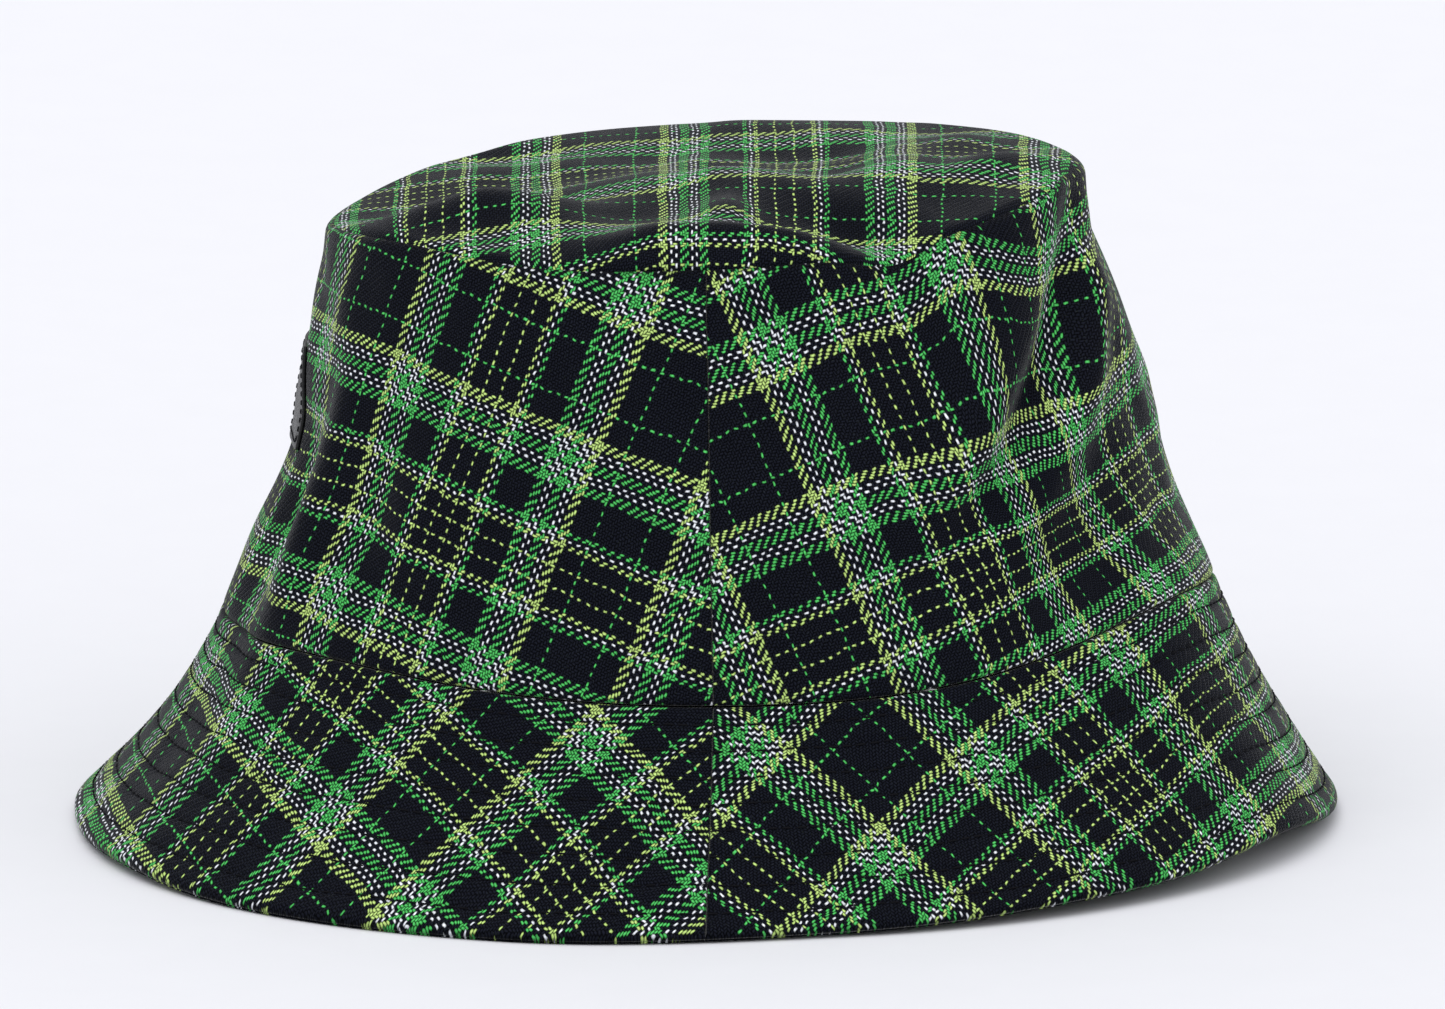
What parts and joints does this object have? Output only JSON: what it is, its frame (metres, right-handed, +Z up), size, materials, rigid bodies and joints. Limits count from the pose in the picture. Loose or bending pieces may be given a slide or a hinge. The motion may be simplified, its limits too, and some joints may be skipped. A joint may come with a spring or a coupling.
{
  "type": "bucket hat",
  "caption": "Soft bucket hat in plaid twill: a flat oval tip, a tapered crown, a stitched down-sloping brim, a lining and a sweatband inside, and a small blank label on the front.",
  "frame": {"origin": "centre of the overall box at its base, on the surface the brim stands on", "axes": "+Z up; -Y towards the front, where the label is; +X to the wearer's left, through a side seam"},
  "size_m": [0.231, 0.262, 0.1365],
  "materials": {
    "plaid_twill": "brushed cotton twill, woven plaid",
    "interlining": "stiff nonwoven",
    "lining_cloth": "plain weave, slight sheen",
    "sweatband_tape": "twill tape",
    "black_label_tape": "satin woven label, blank",
    "white_label_tape": "satin woven label, blank",
    "black_thread": "spun polyester thread"
  },
  "bodies": {
    "root": {"crown_tip": "plaid_twill", "crown_side_front": "plaid_twill", "crown_side_back": "plaid_twill", "brim_top_front": "plaid_twill", "brim_top_back": "plaid_twill", "brim_under_front": "plaid_twill", "brim_under_back": "plaid_twill", "brim_interlining_front": "interlining", "brim_interlining_back": "interlining", "lining_tip": "lining_cloth", "lining_side_front": "lining_cloth", "lining_side_back": "lining_cloth", "sweatband": "sweatband_tape", "front_label": "black_label_tape", "inner_label": "white_label_tape", "front_label_threads": "black_thread", "brim_needle_threads": "black_thread", "brim_bobbin_threads": "black_thread", "brim_edge_seam_thread": "black_thread", "crown_side_seam_threads": "black_thread", "head_seam_thread": "black_thread", "tip_seam_thread": "black_thread", "sweatband_thread": "black_thread"}
  },
  "joints": []
}
